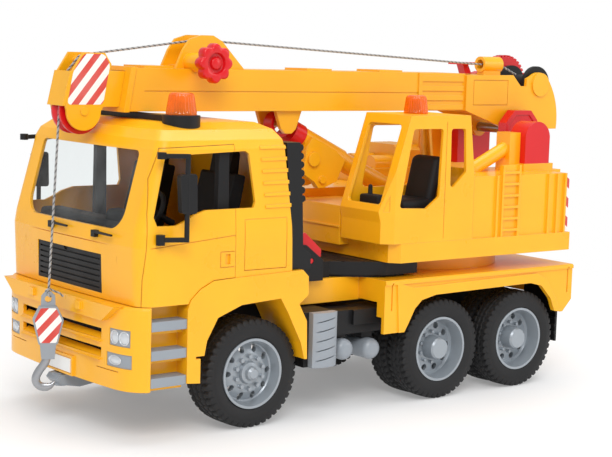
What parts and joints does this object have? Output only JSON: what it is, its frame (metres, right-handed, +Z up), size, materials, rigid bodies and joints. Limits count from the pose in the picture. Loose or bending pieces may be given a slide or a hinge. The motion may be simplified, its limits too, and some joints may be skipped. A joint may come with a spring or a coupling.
{
  "type": "toy crane truck",
  "caption": "Three-axle toy crane truck with opening cab doors, a slewing platform, luffing telescopic boom, hand winch and hook.",
  "frame": {"origin": "on the ground, in the middle of the overall box", "axes": "+X to the rear of the truck, +Y to its right, +Z up"},
  "size_m": [0.4995, 0.207, 0.273],
  "materials": {
    "yellow_plastic": "gloss",
    "red_plastic": "gloss",
    "yellow_head": "gloss",
    "black_plastic": "matte",
    "grey_plastic": "satin",
    "silver_rims": "satin",
    "tyre_rubber": "matte",
    "axle_steel": "satin",
    "orange_lens": "gloss",
    "clear_screen": "gloss",
    "rope_cord": "matte"
  },
  "bodies": {
    "chassis": {"chassis_frame": "black_plastic", "deck": "yellow_plastic", "deck_plate": "black_plastic", "front_bumper": "yellow_plastic", "tow_coupling": "grey_plastic", "step_treads": "grey_plastic", "lamp_units": "grey_plastic", "cab_shell": "yellow_plastic", "windscreen": "clear_screen", "grille": "black_plastic", "cab_interior": "black_plastic", "steering_wheel": "black_plastic", "intake_stacks": "black_plastic", "wipers": "black_plastic", "light_bar": "black_plastic", "beacon_lenses": "orange_lens", "front_fenders": "yellow_plastic", "side_boxes": "black_plastic", "box_covers": "grey_plastic", "air_tanks": "grey_plastic", "mud_flaps": "black_plastic", "slew_pivot": "black_plastic"},
    "front_wheels": {"front_axle": "axle_steel", "front_rims": "silver_rims", "front_tyres": "tyre_rubber"},
    "middle_wheels": {"middle_axle": "axle_steel", "middle_rims": "silver_rims", "middle_tyres": "tyre_rubber"},
    "rear_wheels": {"rear_axle": "axle_steel", "rear_rims": "silver_rims", "rear_tyres": "tyre_rubber"},
    "left_door": {"door_left": "yellow_plastic"},
    "right_door": {"door_right": "yellow_plastic"},
    "left_mirror": {"mirror_left": "black_plastic"},
    "right_mirror": {"mirror_right": "black_plastic"},
    "catch": {"cab_catch": "red_plastic"},
    "platform": {"turntable": "yellow_plastic", "crane_cab": "yellow_plastic", "crane_cab_interior": "black_plastic", "crane_beacon": "orange_lens", "pivot_caps": "red_plastic", "hoist_covers": "red_plastic", "engine_cover": "yellow_plastic", "boom_pivot_pin": "axle_steel"},
    "lift_rod": {"lift_tube": "yellow_plastic"},
    "lift_body": {"lift_sleeve": "yellow_plastic", "cylinder_cap": "red_plastic"},
    "boom": {"outer_boom": "yellow_plastic", "rope_bracket": "yellow_plastic", "boom_rope": "rope_cord"},
    "knob": {"clamp_knob": "red_plastic"},
    "winch": {"winch_drum": "black_plastic", "ratchet_wheel": "red_plastic"},
    "pawl": {"pawl_lever": "red_plastic"},
    "boom_slide": {"inner_boom": "black_plastic", "boom_head": "yellow_head"},
    "pulley": {"head_pulley": "red_plastic"},
    "hanging_rope": {"hoist_rope": "rope_cord"},
    "hook_weight": {"hook_block": "grey_plastic"},
    "hook": {"hook": "axle_steel"}
  },
  "joints": [
    {"name": "front_roll", "type": "hinge", "parent": "chassis", "child": "front_wheels", "pos_m": [-0.11749, 0, 0.039], "axis": [0, 1, 0], "continuous": true},
    {"name": "middle_roll", "type": "hinge", "parent": "chassis", "child": "middle_wheels", "pos_m": [0.06081, 0, 0.039], "axis": [0, 1, 0], "continuous": true},
    {"name": "rear_roll", "type": "hinge", "parent": "chassis", "child": "rear_wheels", "pos_m": [0.14591, 0, 0.039], "axis": [0, 1, 0], "continuous": true},
    {"name": "door_left_swing", "type": "hinge", "parent": "chassis", "child": "left_door", "pos_m": [-0.20979, -0.0924, 0.14], "axis": [0, 0, -1], "range_deg": [0, 60]},
    {"name": "door_right_swing", "type": "hinge", "parent": "chassis", "child": "right_door", "pos_m": [-0.20979, 0.0924, 0.14], "axis": [0, 0, 1], "range_deg": [0, 60]},
    {"name": "mirror_left_fold", "type": "hinge", "parent": "left_door", "child": "left_mirror", "pos_m": [-0.20149, -0.095, 0.165], "axis": [0, 0, -1], "range_deg": [0, 60]},
    {"name": "mirror_right_fold", "type": "hinge", "parent": "right_door", "child": "right_mirror", "pos_m": [-0.20149, 0.095, 0.165], "axis": [0, 0, 1], "range_deg": [0, 60]},
    {"name": "catch_turn", "type": "hinge", "parent": "chassis", "child": "catch", "pos_m": [-0.05249, -0.058, 0.112], "axis": [0, -1, 0], "range_deg": [0, 14]},
    {"name": "slew", "type": "hinge", "parent": "chassis", "child": "platform", "pos_m": [0.10251, 0, 0.1095], "axis": [0, 0, 1], "continuous": true},
    {"name": "luff", "type": "hinge", "parent": "platform", "child": "boom", "pos_m": [0.19351, 0, 0.203], "axis": [0, 1, 0], "range_deg": [0, 40]},
    {"name": "lift_swing", "type": "hinge", "parent": "platform", "child": "lift_rod", "pos_m": [0.12751, 0, 0.131], "axis": [0, 1, 0], "range_deg": [0, 40.5]},
    {"name": "lift_stretch", "type": "slide", "parent": "lift_rod", "child": "lift_body", "axis": [-0.9062, 0, 0.4229], "range_m": [0, 0.068]},
    {"name": "telescope", "type": "slide", "parent": "boom", "child": "boom_slide", "axis": [-1, 0, 0], "range_m": [0, 0.12], "deforming": ["boom_rope"]},
    {"name": "winch_turn", "type": "hinge", "parent": "boom", "child": "winch", "pos_m": [0.22551, 0, 0.2405], "axis": [0, 1, 0], "range_deg": [-110, 600]},
    {"name": "pawl_press", "type": "hinge", "parent": "boom", "child": "pawl", "pos_m": [0.18251, 0, 0.244], "axis": [0, -1, 0], "range_deg": [0, 10]},
    {"name": "knob_turn", "type": "hinge", "parent": "boom", "child": "knob", "pos_m": [-0.12449, 0, 0.2535], "axis": [0, 1, 0], "continuous": true},
    {"name": "pulley_turn", "type": "hinge", "parent": "boom_slide", "child": "pulley", "pos_m": [-0.21149, 0, 0.2186], "axis": [0, 1, 0], "continuous": true},
    {"name": "rope_plumb", "type": "hinge", "parent": "boom_slide", "child": "hanging_rope", "pos_m": [-0.21149, 0, 0.2186], "axis": [0, 1, 0], "range_deg": [-30.5, 0.5]},
    {"name": "hoist", "type": "slide", "parent": "hanging_rope", "child": "hook_weight", "axis": [-0.1114, -0.1013, -0.9886], "range_m": [-0.0155, 0.084], "deforming": ["hoist_rope"]},
    {"name": "hook_swing", "type": "hinge", "parent": "hook_weight", "child": "hook", "pos_m": [-0.23889, -0.013, 0.0535], "axis": [0.4226, 0.9063, 0], "range_deg": [-28, 15]}
  ],
  "couplings": [
    {"joint": "lift_swing", "follows": "luff", "ratio": 1.0028},
    {"joint": "lift_stretch", "follows": "luff", "m_per_rad": 0.0966},
    {"joint": "rope_plumb", "follows": "luff", "ratio": -0.75},
    {"joint": "hoist", "follows": "winch_turn", "m_per_rad": 0.008}
  ]
}
